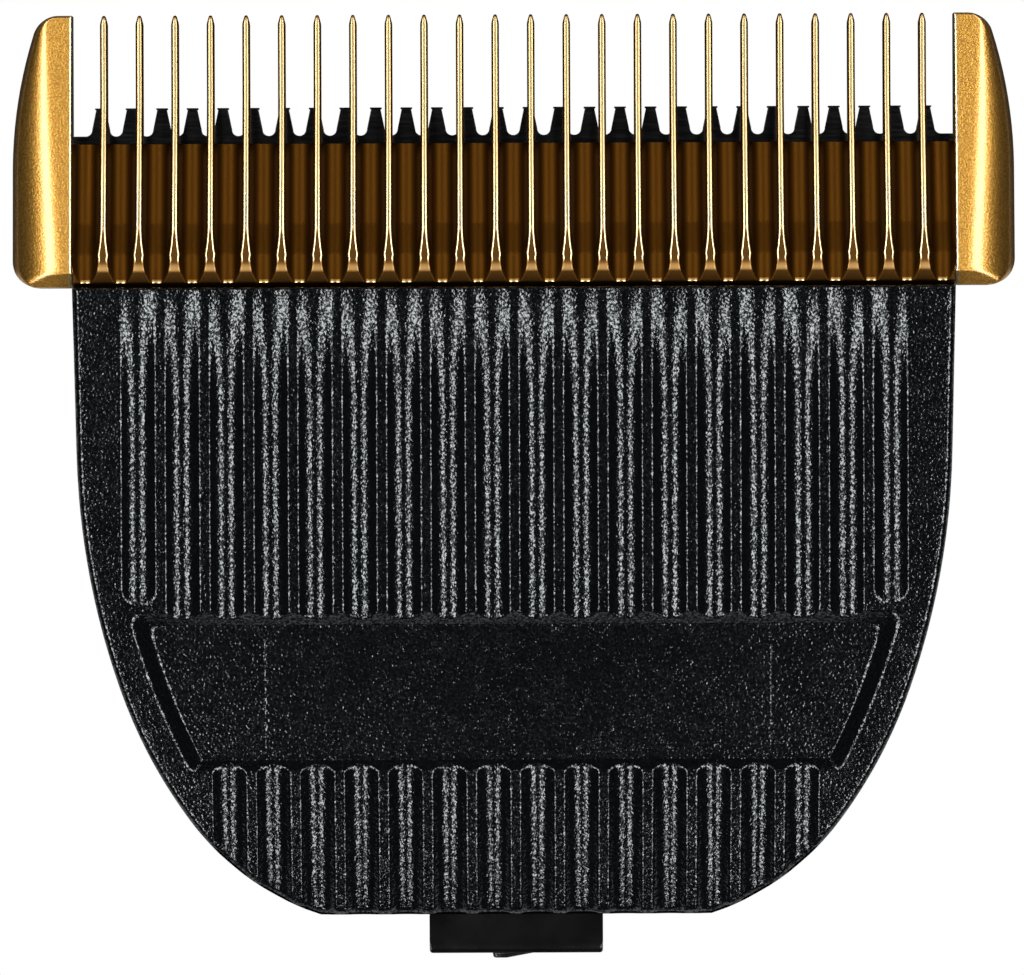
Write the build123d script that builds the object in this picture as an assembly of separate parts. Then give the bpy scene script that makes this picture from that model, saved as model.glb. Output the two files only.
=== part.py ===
from build123d import *
import os
from math import acos, asin, atan2, cos, degrees, radians, sin, sqrt, tan

# Clip-on blade of a hair clipper, lying on its back.
# X runs across the teeth, Y towards the tooth tips and Z out of the ribbed face. The pieces are
# drawn with the seam between comb and housing at Y = 0, then moved so that the origin lies under
# the middle of the blade, on the plane that the back rim rests on.
# Sizes are in millimetres and angles in degrees.

# Levels and walls of the housing
face_z = 12.0               # flat part of the ribbed face, above the back rim
seat_depth = 2.6            # face plate where the comb's tail is screwed to it
face_wall = 1.8             # face plate over the open part of the back
side_wall = 1.5
rim_round = 0.3             # rounded edge of the face
housing_inset = 0.04        # housing is this much narrower than the comb between its guards, each side
lug_root = 0.5              # lugs and ledges run this far into the face plate

# Outline of the housing: a tapered side, then three arcs that meet without a corner
side_taper = 1.37
side_length = 7.51
bend_radii = (35.8, 22.8, 12.0)
bend_turns = (17.7, 16.8, 35.2)

# Face: flat below the seam, then curved towards the foot
flat_length = 9.5
face_radius = 40.0

# Flutes in the face
flute_count = 18
foot_flute_count = 14       # flutes that run on to the foot
flute_pitch = 2.0
flute_width = 1.56
flute_depth = 0.36
fade_length = 5.0           # flutes grow from the faded depth to the full one over this length
faded_depth = 0.1
short_flute_end = 14.36     # rounded end of the outermost flutes, below the seam

# Plain recessed band across the face
band_top = 14.68            # below the seam
band_foot = 21.96
band_depth = 0.62
band_top_inset = 2.54       # band's upper corners, in from the housing's widest line
band_foot_inset = 5.29

# Comb of the stationary blade, heights above the plane that the blades slide on
fin_count = 24
fin_pitch = 1.618
fin_width = 0.345
fin_reach = 12.45           # fin tips above the seam
tip_height = 0.7
ramp_y = 8.6                # fins rise from here towards the seam
crest_y = 1.3               # highest point of the fins
crest_height = 2.5
shoulder_y = 0.8            # lower bevel starts here
shoulder_height = 2.43
bevel_height = 2.19         # foot of the bevel, at the seam
seam_gap = 0.05
nose_length = 0.4           # pointed end of a fin
nose_height = 0.5
nose_taper = 0.11           # each side
groove_draft = 1.5
floor_y = 6.58              # grooves become open slots above this line
floor_height = 0.6
runout_y = 2.95             # groove floor rises more steeply from here
runout_height = 1.45
runout_end = 1.5
runout_end_height = 2.16
tail_length = 7.2
tail_thickness = 0.9
tail_margin = 0.9           # between the tail's ends and the side walls

# Guards at the ends of the comb
guard_offset = 1.4          # guard's inner face from the middle of the last fin
guard_width = 2.73
guard_reach = 12.4
guard_foot_height = 2.8
guard_tip_height = 1.5
guard_bow_y = 5.35          # outer side is straight up to here
guard_bow_radius = 20.5
guard_flat_foot = 0.36      # flat front beside the fins
guard_flat_tip = 1.16
guard_crown_turn = 45.0     # slope of the crown where it meets the rounded edge
guard_edge_radius = 0.3
guard_foot_radius = 1.2
guard_tip_radius = 0.8
guard_trim = 0.03           # drawn this much too large, then cut to its plan
guard_stations = 6          # spans along the guard

# Moving blade
stroke = 1.2                # each way from the middle
blade_gap = 0.02            # oil film between the blades
blade_overlap = 0.0715      # blade's ends behind the guards, past their inner faces
tooth_count = 28
tooth_reach = 8.25          # tooth tips above the seam
tooth_tip_half = 0.214
tooth_root_half = 0.4
tooth_flank = 0.98          # height of the sloping flanks
gullet_depth = 1.28
lip_half = 0.27             # thin lip across each tooth tip
lip_height = 0.07
blade_end = 1.3             # blade ends past the middle of the last tooth
blade_thickness = 1.0
blade_tip_thickness = 0.45
blade_bevel_y = 5.0         # back of the blade thins from here to the tips
head_foot_y = 2.4           # toothed head reaches down to here
neck_half = 8.2
neck_foot_y = -4.4
neck_corner = 0.8

# Drive block behind the moving blade
carrier_half = 8.0
carrier_top_y = 1.6
carrier_foot_y = -5.2
carrier_thickness = 2.2
carrier_corner = 0.8
wing_reach = 12.6           # ends of the wings from the middle
wing_top_y = -0.6
wing_foot_y = -3.6
wing_thickness = 1.4
drive_y = -1.8              # middle of the drive slot
drive_slot_width = 3.2
drive_slot_length = 4.0
drive_slot_depth = 4.4
drive_wall = 1.3
drive_boss_height = 3.8
guide_pin_x = 6.0
guide_pin_y = -2.0
guide_pin_diameter = 2.0
guide_pin_engagement = 0.6  # in the comb's slots
guide_pin_chamfer = 0.3     # lets the pins leave the slots when the blade tips back
guide_clearance = 0.1
stake_clearance = 0.02

# Screws that hold the comb's tail
screw_edge = 2.2            # from the tail's ends
screw_y = -4.6
screw_diameter = 1.9
screw_grip = 1.6            # in the face plate
screw_spare = 0.15          # hole is this much deeper than the screw
screw_clearance = 0.2       # in the tail
thread_clearance = 0.02
screw_head_diameter = 3.2
screw_head_height = 1.0
screw_head_round = 0.3
driver_width = 0.5
driver_length = 2.0
driver_depth = 0.5

# Torsion springs
wire_diameter = 0.7
coil_radius = 1.7
coil_pitch = 0.8
coil_turns = 2.05
coil_x = 7.8                # outer end of the coil
coil_y = -12.2
coil_z = 5.2
press_y = -1.8              # where the long leg bears on the carrier
short_leg = 4.5
spring_touch = 0.02
post_clearance = 0.15
spring_side_gap = 0.3
spring_lug_thickness = 1.0
ledge_length = 1.6          # ledge that the short leg bears on

# Cleaning lever
lever_x = 9.7               # inner side of the lever
lever_y = -9.0
lever_z = 7.0
lever_width = 1.4
lever_hub_radius = 1.5
lever_nose = 7.9            # from the pivot
lever_nose_bevel = 0.6
lever_arm_top = 1.2
lever_touch = 0.05          # between the nose and the carrier's wing
lever_pad_near = 3.6
lever_pad_far = 7.5
lever_pad_drop = 4.4        # back of the thumb pad, behind the pivot
lever_pad_thickness = 1.2
lever_pad_width = 4.5
lever_pad_corner = 0.8
lever_ridges = 3
lever_ridge_radius = 0.3
lever_side_gap = 0.2
lever_lug_thickness = 0.8
lever_pin_diameter = 1.4
lever_pin_fit = 0.01
lever_bore_fit = 0.05

# Mounting hook, arms and snap ribs
hook_width = 8.0
hook_reach = 1.98
hook_root = 1.0
hook_z = 1.0
hook_thickness = 2.4
hook_chamfer = 0.4
hook_lip = 0.7
gate_left = -1.08           # torn moulding gate left on the hook's edge
gate_flat = -0.45
gate_right = 1.12
gate_height = 0.3
gate_thickness = 0.8
arm_length = 2.0            # side walls run on behind the comb
snap_radius = 0.5
snap_length = 4.0
snap_y = -6.0
snap_z = 1.6

# Worked out from the sizes above
ceiling_z = face_z - seat_depth
contact_z = ceiling_z - tail_thickness
guard_inner = (fin_count - 1) / 2 * fin_pitch + guard_offset
guard_outer = guard_inner + guard_width
housing_half = guard_inner - housing_inset
inner_half = housing_half - side_wall
tail_half = inner_half - tail_margin
screw_x = tail_half - screw_edge
bend_centre = (-flat_length, face_z - face_radius)
blade_front = contact_z - blade_gap
blade_back = blade_front - blade_thickness
blade_half = guard_inner + blade_overlap
tooth_pitch = (blade_half - blade_end) / ((tooth_count - 1) / 2)
carrier_back = blade_back - carrier_thickness
coil_inner_x = coil_x - coil_pitch * coil_turns
lever_pin_from = lever_x - lever_side_gap - lever_lug_thickness
lever_pin_to = lever_x + lever_width + lever_side_gap + lever_lug_thickness
far = 60.0                  # past every piece


def block(x_from, x_to, y_from, y_to, z_from, z_to):
    box = Box(x_to - x_from, y_to - y_from, z_to - z_from, align=(Align.MIN, Align.MIN, Align.MIN))
    return Pos(x_from, y_from, z_from) * box


def bar(radius, x_from, x_to, y, z):
    """Round bar along X."""
    return Pos((x_from + x_to) / 2, y, z) * Rot(0, 90, 0) * Cylinder(radius, x_to - x_from)


def across(edges, half):
    """Solid with this outline in YZ, drawn by edges, to both sides of the middle."""
    return extrude(Plane.YZ * make_face(edges), half, both=True)


def both_sides(piece):
    return piece + mirror(piece, about=Plane.YZ)


def standing(section, y, z):
    """Section drawn in X and Z, set at y and z, that faces down the blade."""
    return Plane((0, y, z), x_dir=(1, 0, 0), z_dir=(0, -1, 0)) * section


def on_bend(radius, angle):
    """Point in YZ at a radius and an angle (radians) from the start of the curved face."""
    return (bend_centre[0] - radius * sin(angle), bend_centre[1] + radius * cos(angle))


def bend_angle(distance, radius=face_radius):
    """Angle (radians) at which the curve is this far below the seam."""
    return asin((distance - flat_length) / radius)


def roof_z(y):
    """Height of the inside of the face plate."""
    roof = face_radius - face_wall
    return on_bend(roof, max(0.0, bend_angle(-y, roof)))[1]


def housing_outline(inset, top_y):
    """Plan of the housing, drawn this far inside its outer wall, with its upper edge at top_y."""
    slope = tan(radians(side_taper))
    edge = housing_half - inset / cos(radians(side_taper))
    top = (edge + top_y * slope, top_y)
    right = [Line(top, (edge - side_length * slope, -side_length))]
    for radius, turn in zip(bend_radii, bend_turns):
        right.append(JernArc(right[-1] @ 1, right[-1] % 1, radius - inset, -turn))
    half = Curve() + right
    foot = right[-1] @ 1
    ends = [Line(foot, (-foot.X, foot.Y)), Line((-top[0], top_y), top)]
    return make_face((half + mirror(half, about=Plane.YZ) + ends).edges())


housing_length = -housing_outline(0, 0).bounding_box().min.Y


def flute_radius(depth):
    return (flute_width**2 / 4 + depth**2) / (2 * depth)


def flute_section(depth, y):
    """Round-bottomed section of a flute, a little higher than the face."""
    over = faded_depth / 2
    radius = flute_radius(depth)
    half = sqrt(radius**2 - (radius - depth - over)**2)
    arc = ThreePointArc((-half, over), (0, -depth), (half, over))
    return standing(make_face([arc, Line(arc @ 1, arc @ 0)]), y, face_z)


def flute(end, rounded=False):
    """Cutter for one flute, from the seam to this far below it."""
    full = flute_section(flute_depth, -fade_length)
    cutter = loft([flute_section(faded_depth, rim_round), full])
    cutter += extrude(full, flat_length - fade_length)
    stop = bend_angle(end - flute_width / 2 if rounded else end)
    bend_axis = Axis((0, *bend_centre), (1, 0, 0))
    cutter += revolve(flute_section(flute_depth, -flat_length), bend_axis, degrees(stop))
    if rounded:
        ball = flute_radius(flute_depth)
        cutter += Pos(0, *on_bend(face_radius + ball - flute_depth, stop)) * Sphere(ball)
    return cutter


def flutes():
    """The outermost flutes end round, those next to them end in the band, the rest run through."""
    rounded = flute(short_flute_end, rounded=True)
    into_band = flute((band_top + band_foot) / 2)
    through = flute(housing_length + side_wall)
    short_flutes = (flute_count - foot_flute_count) // 2
    cutters = []
    for i in range(flute_count):
        from_edge = min(i, flute_count - 1 - i)
        kind = through
        if from_edge < short_flutes:
            kind = into_band
        if from_edge == 0:
            kind = rounded
        cutters.append(Pos((i - (flute_count - 1) / 2) * flute_pitch, 0, 0) * kind)
    return cutters


def band():
    """Cutter for the recess: it follows the curved face and has walls that slope at 45 degrees."""
    start = bend_angle(band_top)
    end = bend_angle(band_foot)
    slope = band_depth / face_radius
    floor = face_radius - band_depth
    over = face_radius + band_depth
    upper = Line(on_bend(over, start - slope), on_bend(floor, start + slope))
    lower = Line(on_bend(floor, end - slope), on_bend(over, end + slope))
    bottom = ThreePointArc(upper @ 1, on_bend(floor, (start + end) / 2), lower @ 0)
    slab = Plane.YZ * make_face([upper, bottom, lower, Line(lower @ 1, upper @ 0)])
    upper_corner = Vector(housing_half - band_top_inset, *on_bend(face_radius, start))
    lower_corner = Vector(housing_half - band_foot_inset, *on_bend(face_radius, end))
    outward = Vector(0, -sin((start + end) / 2), cos((start + end) / 2))
    along = (lower_corner - upper_corner).normalized()
    wall = Plane(upper_corner, x_dir=along, z_dir=outward - outward.cross(along))
    return both_sides(split(extrude(slab, housing_half), bisect_by=wall, keep=Keep.TOP))


def housing_shell():
    """Face plate with its side walls, rounded at the edge and open at the back."""
    foot_angle = bend_angle(housing_length + side_wall)
    foot = on_bend(face_radius, foot_angle)
    bend = ThreePointArc(on_bend(face_radius, 0), on_bend(face_radius, foot_angle / 2), foot)
    crown = Polyline(foot, (foot[0], 0), (arm_length, 0), (arm_length, contact_z), (0, contact_z),
                     (0, face_z), bend @ 0)
    shell = extrude(housing_outline(0, arm_length), face_z) & across([bend, crown], far)
    face = shell.faces().filter_by(lambda f: f.normal_at().Z > 0.5 and f.center().Z > ceiling_z)
    bend_start = Vector(0, *on_bend(face_radius, 0))
    rim = face.edges().filter_by(lambda e: (e.center() - bend_start).length > side_wall)
    shell = fillet(rim, rim_round)

    roof = face_radius - face_wall
    roof_foot = on_bend(roof, foot_angle)
    roof_bend = ThreePointArc(on_bend(roof, 0), on_bend(roof, foot_angle / 2), roof_foot)
    room = Polyline(roof_foot, (roof_foot[0], -far), (far, -far), (far, ceiling_z),
                    (-flat_length, ceiling_z), roof_bend @ 0)
    cavity = extrude(housing_outline(side_wall, 2 * arm_length), face_z)
    return shell - (cavity & across([roof_bend, room], far))


def lug(x_from, x_to, y, z, radius):
    """Plate that hangs from the face plate and ends round an axis along X."""
    stem = block(x_from, x_to, y - radius, y + radius, z, roof_z(y - radius) + lug_root)
    return stem + bar(radius, x_from, x_to, y, z)


def spring_path():
    """Centre line of the right spring, from the tip of its long leg to the end of its short one."""
    rise = carrier_back - wire_diameter / 2 - spring_touch - coil_z
    run = press_y - coil_y
    distance = sqrt(run**2 + rise**2)
    start = atan2(rise, run) - acos(coil_radius / distance)
    long_leg = sqrt(distance**2 - coil_radius**2) + wire_diameter
    coil = Helix(coil_pitch, coil_pitch * coil_turns, coil_radius)
    first = Line(coil @ 0 - (coil % 0) * long_leg, coil @ 0)
    last = Line(coil @ 1, coil @ 1 + (coil % 1) * short_leg)
    place = Plane((coil_x, coil_y, coil_z), x_dir=(0, cos(start), sin(start)), z_dir=(-1, 0, 0))
    return place.location * Wire([first, coil, last])


def spring():
    path = spring_path()
    section = Plane(path @ 0, z_dir=path % 0) * Circle(wire_diameter / 2)
    return sweep(section, path=path, is_frenet=True)


def spring_seat():
    """Lug, post and ledge that carry the right spring."""
    leg_end = spring_path() @ 1
    lug_to = coil_inner_x - wire_diameter / 2 - spring_side_gap
    lug_from = lug_to - spring_lug_thickness
    post = coil_radius - wire_diameter / 2 - post_clearance
    post_to = coil_x + wire_diameter / 2 + spring_side_gap
    ledge_y = leg_end.Y - wire_diameter / 2
    ledge_z = leg_end.Z + wire_diameter / 2 + spring_touch
    seat = lug(lug_from, lug_to, coil_y, coil_z, coil_radius)
    seat += bar(post, lug_from, post_to, coil_y, coil_z)
    seat += block(lug_from, leg_end.X + wire_diameter, ledge_y, ledge_y + ledge_length,
                  ledge_z, roof_z(ledge_y) + lug_root)
    return seat


def lever_lugs():
    """The two lugs that hold the lever's pin."""
    inner_to = lever_x - lever_side_gap
    outer_from = lever_x + lever_width + lever_side_gap
    lugs = lug(lever_pin_from, inner_to, lever_y, lever_z, lever_hub_radius)
    lugs += lug(outer_from, lever_pin_to, lever_y, lever_z, lever_hub_radius)
    return lugs - bar(lever_pin_diameter / 2 + lever_pin_fit, 0, housing_half, lever_y, lever_z)


def hook():
    """Tongue with a lip that goes into the clipper, and the torn gate on its edge."""
    tip = -housing_length - hook_reach
    root = -housing_length + hook_root
    top = hook_z + hook_thickness
    back = hook_z - hook_lip
    tongue = across(Polyline(
        (root, hook_z), (root, top), (tip + hook_chamfer, top), (tip, top - hook_chamfer),
        (tip, back), (tip + hook_lip, back), (tip + hook_lip, hook_z), close=True), hook_width / 2)
    gate = make_face(Polyline(
        (gate_left, tip + hook_lip), (gate_left, tip - gate_height), (gate_flat, tip - gate_height),
        (gate_right, tip), (gate_right, tip + hook_lip), close=True))
    return tongue + extrude(Pos(0, 0, hook_z) * gate, gate_thickness)


def housing():
    body = housing_shell()
    snap_x = inner_half + snap_y * tan(radians(side_taper))
    snap = Rot(90, 0, 0) * Cylinder(snap_radius, snap_length)
    body += both_sides(Pos(snap_x, snap_y, snap_z) * snap)
    body += hook()
    body += both_sides(spring_seat())
    body += lever_lugs()
    screw_hole = Cylinder(screw_diameter / 2 + thread_clearance, screw_grip + screw_spare,
                          align=(Align.CENTER, Align.CENTER, Align.MIN))
    body -= both_sides(Pos(screw_x, screw_y, ceiling_z) * screw_hole)
    body -= flutes()
    return body - band()


def guard_half(y):
    """Outer side of a guard, from the middle of the blade."""
    past = max(0.0, y - guard_bow_y)
    return guard_outer - guard_bow_radius + sqrt(guard_bow_radius**2 - past**2)


def guard_section(y):
    """Section of the right guard: a flat front, a crown that falls away and a rounded outer edge."""
    share = y / guard_reach
    height = guard_foot_height + (guard_tip_height - guard_foot_height) * share
    flat = guard_inner + guard_flat_foot + (guard_flat_tip - guard_flat_foot) * share
    outer = guard_half(y) + guard_trim
    slope = sin(radians(guard_crown_turn))
    crown_radius = (outer - flat - guard_edge_radius * (1 - slope)) / slope
    crown = JernArc((flat, height), (1, 0), crown_radius, -guard_crown_turn)
    edge = JernArc(crown @ 1, crown % 1, guard_edge_radius, guard_crown_turn - 90)
    rest = Polyline(edge @ 1, (outer, 0), (guard_inner, 0), (guard_inner, height), (flat, height))
    return standing(make_face([crown, edge, rest]), y, contact_z)


def guard():
    """Right guard: a bar that thins towards its tip, trimmed to its plan and bevelled at the foot."""
    start = seam_gap - guard_trim
    step = (guard_reach + guard_trim - start) / guard_stations
    body = loft([guard_section(start + i * step) for i in range(guard_stations + 1)])
    tip = (guard_half(guard_reach), guard_reach)
    bow = RadiusArc((guard_outer, guard_bow_y), tip, -guard_bow_radius)
    sides = Polyline(tip, (guard_inner, guard_reach), (guard_inner, seam_gap),
                     (guard_outer, seam_gap), (guard_outer, guard_bow_y))
    plan = make_face([bow, sides])
    plan = fillet(plan.vertices().sort_by_distance((guard_outer, seam_gap))[0], guard_foot_radius)
    plan = fillet(plan.vertices().sort_by_distance(tip)[0], guard_tip_radius)
    body &= extrude(Pos(0, 0, contact_z) * plan, far)
    bevel = Polyline(
        (seam_gap, contact_z + bevel_height), (shoulder_y, contact_z + guard_foot_height),
        (shoulder_y, far), (-far, far), (-far, contact_z + bevel_height), close=True)
    return body - across(bevel, far)


def groove():
    """Cutter for one groove: a floor as steep as the crests, then a ramp that runs out in the bevel."""
    radius = (fin_pitch - fin_width) / 2
    slope = radians(groove_draft)
    wall_x = radius * cos(slope)
    wall_z = radius * (1 - sin(slope))
    top_x = wall_x + (crest_height - wall_z) * tan(slope)
    bottom = ThreePointArc((-wall_x, wall_z), (0, 0), (wall_x, wall_z))
    walls = Polyline((wall_x, wall_z), (top_x, crest_height), (-top_x, crest_height), (-wall_x, wall_z))
    section = make_face([bottom, walls])
    floor = [
        (floor_y, floor_height), (runout_y, runout_height),
        (runout_end, runout_end_height), (-fin_width, runout_end_height),
    ]
    stretches = []
    for (y, z), (next_y, next_z) in zip(floor, floor[1:]):
        run = Vector(0, next_y - y, next_z - z)
        stretches.append(extrude(standing(section, y, contact_z + z), run.length, dir=run.normalized()))
    return Part() + stretches


def slot():
    """Cutter for the open slot between two fins, flared at the tips."""
    half = (fin_pitch - fin_width) / 2
    flare = half + nose_taper
    nose = fin_reach - nose_length
    end = fin_reach + fin_width
    side = [(half, floor_y), (half, nose), (flare, fin_reach), (flare, end)]
    outline = Polyline(*side, *[(-x, y) for x, y in reversed(side)], close=True)
    return extrude(Pos(0, 0, contact_z) * make_face(outline), crest_height, both=True)


def stationary_blade():
    profile = [
        (seam_gap, 0), (fin_reach, 0), (fin_reach, nose_height), (fin_reach - nose_length, tip_height),
        (ramp_y, tip_height), (crest_y, crest_height), (shoulder_y, shoulder_height),
        (seam_gap, bevel_height),
    ]
    blade = across(Polyline(*[(y, contact_z + z) for y, z in profile], close=True), guard_inner)
    cutter = groove() + slot()
    blade -= [Pos((i - fin_count / 2) * fin_pitch, 0, 0) * cutter for i in range(fin_count + 1)]
    blade += both_sides(guard())
    blade += block(-tail_half, tail_half, -tail_length, shoulder_y, contact_z, ceiling_z)
    blade -= both_sides(Pos(screw_x, screw_y, contact_z) * Cylinder(screw_diameter / 2 + screw_clearance, far))
    guide_width = guide_pin_diameter + 2 * guide_clearance
    guide = SlotOverall(guide_width + 2 * stroke + 2 * guide_clearance, guide_width)
    return blade - both_sides(extrude(Pos(guide_pin_x, guide_pin_y, 0) * guide, far))


def moving_blade():
    """Toothed plate, thinned at the back towards the tips."""
    gullet_y = tooth_reach - gullet_depth
    root_y = tooth_reach - tooth_flank
    lip_y = tooth_reach - lip_height
    tooth = [(-tooth_root_half, root_y), (-tooth_tip_half, lip_y), (-lip_half, lip_y), (-lip_half, tooth_reach)]
    tooth += [(-x, y) for x, y in reversed(tooth)]
    middles = [(i - (tooth_count - 1) / 2) * tooth_pitch for i in range(tooth_count)]
    edges = []
    for x in middles:
        edges.append(Polyline(*[(x + across_x, y) for across_x, y in tooth]))
    for left, right in zip(edges, edges[1:]):
        bottom = ((left @ 1).X / 2 + (right @ 0).X / 2, gullet_y)
        edges.append(ThreePointArc(left @ 1, bottom, right @ 0))
    first_x = middles[0] - tooth_pitch / 2
    end = TangentArc((first_x, gullet_y), (middles[0] - tooth_root_half, root_y), tangent=(1, 0))
    rest = Polyline(
        end @ 0, (-blade_half, gullet_y), (-blade_half, head_foot_y), (-neck_half, head_foot_y),
        (-neck_half, neck_foot_y), (0, neck_foot_y))
    half = Curve() + [end, rest]
    plan = make_face((Curve() + edges + half + mirror(half, about=Plane.YZ)).edges())
    corners = plan.vertices().filter_by(lambda v: abs(abs(v.X) - neck_half) < blade_gap)
    plan = fillet(corners, neck_corner)
    thinning = Polyline(
        (neck_foot_y, blade_front), (neck_foot_y, blade_back), (blade_bevel_y, blade_back),
        (tooth_reach, blade_front - blade_tip_thickness), (tooth_reach, blade_front), close=True)
    blade = extrude(Pos(0, 0, blade_back) * plan, blade_thickness) & across(thinning, far)
    return blade - both_sides(guide_pin(stake_clearance))


def guide_pin(fit):
    """Right stake of the carrier, which goes through the moving blade into the comb's guide slot."""
    length = blade_thickness + blade_gap + guide_pin_engagement
    pin = Cylinder(guide_pin_diameter / 2 + fit, length, align=(Align.CENTER, Align.CENTER, Align.MIN))
    return Pos(guide_pin_x, guide_pin_y, blade_back) * pin


def blade_carrier():
    """Drive block with a slot for the clipper's pin, two wings and two stakes."""
    middle_y = (carrier_top_y + carrier_foot_y) / 2
    plan = RectangleRounded(2 * carrier_half, carrier_top_y - carrier_foot_y, carrier_corner)
    body = extrude(Pos(0, middle_y, carrier_back) * plan, carrier_thickness)
    body += block(-wing_reach, wing_reach, wing_foot_y, wing_top_y, carrier_back, carrier_back + wing_thickness)
    upright = Pos(0, drive_y, carrier_back - drive_boss_height) * Rot(0, 0, 90)
    boss = SlotOverall(drive_slot_length + 2 * drive_wall, drive_slot_width + 2 * drive_wall)
    body += extrude(upright * boss, drive_boss_height)
    body -= extrude(upright * SlotOverall(drive_slot_length, drive_slot_width), drive_slot_depth)
    pin = guide_pin(0)
    return body + both_sides(chamfer(pin.edges().sort_by(Axis.Z)[-1], guide_pin_chamfer))


def cleaning_lever():
    """Rocker: its nose reaches in front of the carrier's wing, its pad is pressed with a thumb."""
    pad_top = lever_pad_thickness - lever_pad_drop
    arm_foot = carrier_back + wing_thickness + lever_touch - lever_z
    arm = Polyline(
        (0, lever_arm_top), (lever_nose, lever_arm_top), (lever_nose, arm_foot + lever_nose_bevel),
        (lever_nose - lever_nose_bevel, arm_foot), (0, arm_foot), close=True)
    crank = Polyline(
        (0, -lever_hub_radius), (-lever_pad_near, -lever_pad_drop), (-lever_pad_far, -lever_pad_drop),
        (-lever_pad_far, pad_top), (-lever_pad_near - lever_pad_thickness / 2, pad_top),
        (-lever_hub_radius, 0), close=True)
    profile = make_face(arm) + make_face(crank) + Circle(lever_hub_radius)
    place = Plane((lever_x, lever_y, lever_z), x_dir=(0, 1, 0), z_dir=(1, 0, 0))
    lever = extrude(place * profile, lever_width)
    pad_y = lever_y - (lever_pad_near + lever_pad_far) / 2
    pad_z = lever_z - lever_pad_drop
    pad_length = lever_pad_far - lever_pad_near
    pad = RectangleRounded(lever_pad_width, pad_length, lever_pad_corner)
    pad_x = lever_x + lever_pad_width / 2
    lever += extrude(Pos(pad_x, pad_y, pad_z) * pad, lever_pad_thickness)
    for i in range(lever_ridges):
        ridge_y = pad_y + ((i + 1) / (lever_ridges + 1) - 0.5) * pad_length
        ridge_from = lever_x + lever_pad_corner
        ridge_to = lever_x + lever_pad_width - lever_pad_corner
        lever += bar(lever_ridge_radius, ridge_from, ridge_to, ridge_y, pad_z)
    return lever - bar(lever_pin_diameter / 2 + lever_bore_fit, 0, housing_half, lever_y, lever_z)


def blade_screw():
    """Pan-head screw, driven from behind."""
    head = Cylinder(screw_head_diameter / 2, screw_head_height, align=(Align.CENTER, Align.CENTER, Align.MAX))
    head = fillet(head.edges().sort_by(Axis.Z)[0], screw_head_round)
    shank = Cylinder(screw_diameter / 2, tail_thickness + screw_grip, align=(Align.CENTER, Align.CENTER, Align.MIN))
    bit = Box(driver_length, driver_width, driver_depth, align=(Align.CENTER, Align.CENTER, Align.MIN))
    cross = Pos(0, 0, -screw_head_height) * (bit + Rot(0, 0, 90) * bit)
    return Pos(screw_x, screw_y, contact_z) * (head + shank - cross)


def left(piece):
    return mirror(piece, about=Plane.YZ)


pieces = {
    "housing": housing(),
    "stationary_blade": stationary_blade(),
    "moving_blade": moving_blade(),
    "blade_carrier": blade_carrier(),
    "left_spring": left(spring()),
    "right_spring": spring(),
    "cleaning_lever": cleaning_lever(),
    "lever_pin": bar(lever_pin_diameter / 2, lever_pin_from, lever_pin_to, lever_y, lever_z),
    "left_blade_screw": left(blade_screw()),
    "right_blade_screw": blade_screw(),
}

seam_y = (housing_length + hook_reach + gate_height - fin_reach) / 2
os.makedirs("parts", exist_ok=True)
for name, piece in pieces.items():
    export_step(Pos(0, seam_y, 0) * piece, f"parts/{name}.step")
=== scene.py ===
from math import acos, atan2, cos, pi, radians, sin, sqrt, tan

import bmesh
import bpy
import numpy as np
from mathutils import Matrix, Vector


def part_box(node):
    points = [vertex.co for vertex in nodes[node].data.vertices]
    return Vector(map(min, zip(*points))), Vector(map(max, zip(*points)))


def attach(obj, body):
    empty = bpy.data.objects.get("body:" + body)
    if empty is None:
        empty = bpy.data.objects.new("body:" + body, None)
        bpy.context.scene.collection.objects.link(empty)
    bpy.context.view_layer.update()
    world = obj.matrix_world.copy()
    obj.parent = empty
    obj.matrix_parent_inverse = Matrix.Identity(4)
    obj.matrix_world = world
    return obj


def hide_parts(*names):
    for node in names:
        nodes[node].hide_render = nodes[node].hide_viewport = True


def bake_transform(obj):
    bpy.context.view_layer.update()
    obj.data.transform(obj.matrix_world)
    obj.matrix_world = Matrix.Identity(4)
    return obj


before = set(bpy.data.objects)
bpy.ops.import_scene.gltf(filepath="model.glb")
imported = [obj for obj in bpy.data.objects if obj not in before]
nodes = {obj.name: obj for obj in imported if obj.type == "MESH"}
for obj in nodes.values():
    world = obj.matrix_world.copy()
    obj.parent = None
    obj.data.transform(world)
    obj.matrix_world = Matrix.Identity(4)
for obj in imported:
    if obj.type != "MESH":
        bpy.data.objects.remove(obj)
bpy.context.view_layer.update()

# lengths below are millimetres, y from the seam between comb and housing, z from the table
mm = 0.001
combReach = 12.45
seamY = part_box("stationary_blade")[1].y / mm - combReach
mergeGap = 2e-4
flatAngle = radians(0.6)
print("frame loaded, seam at", round(seamY, 3))


def newMaterial(name, color, metallic, roughness):
    material = bpy.data.materials.new(name)
    material.use_nodes = True
    shader = shaderOf(material)
    shader.inputs["Base Color"].default_value = (*color, 1)
    shader.inputs["Metallic"].default_value = metallic
    shader.inputs["Roughness"].default_value = roughness
    return material


def shaderOf(material):
    return material.node_tree.nodes["Principled BSDF"]


def addNode(material, kind, values=None, **settings):
    node = material.node_tree.nodes.new(kind)
    for key, value in settings.items():
        setattr(node, key, value)
    for key, value in (values or {}).items():
        node.inputs[key].default_value = value
    return node


def link(material, source, output, target, socket):
    material.node_tree.links.new(source.outputs[output], target.inputs[socket])


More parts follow.
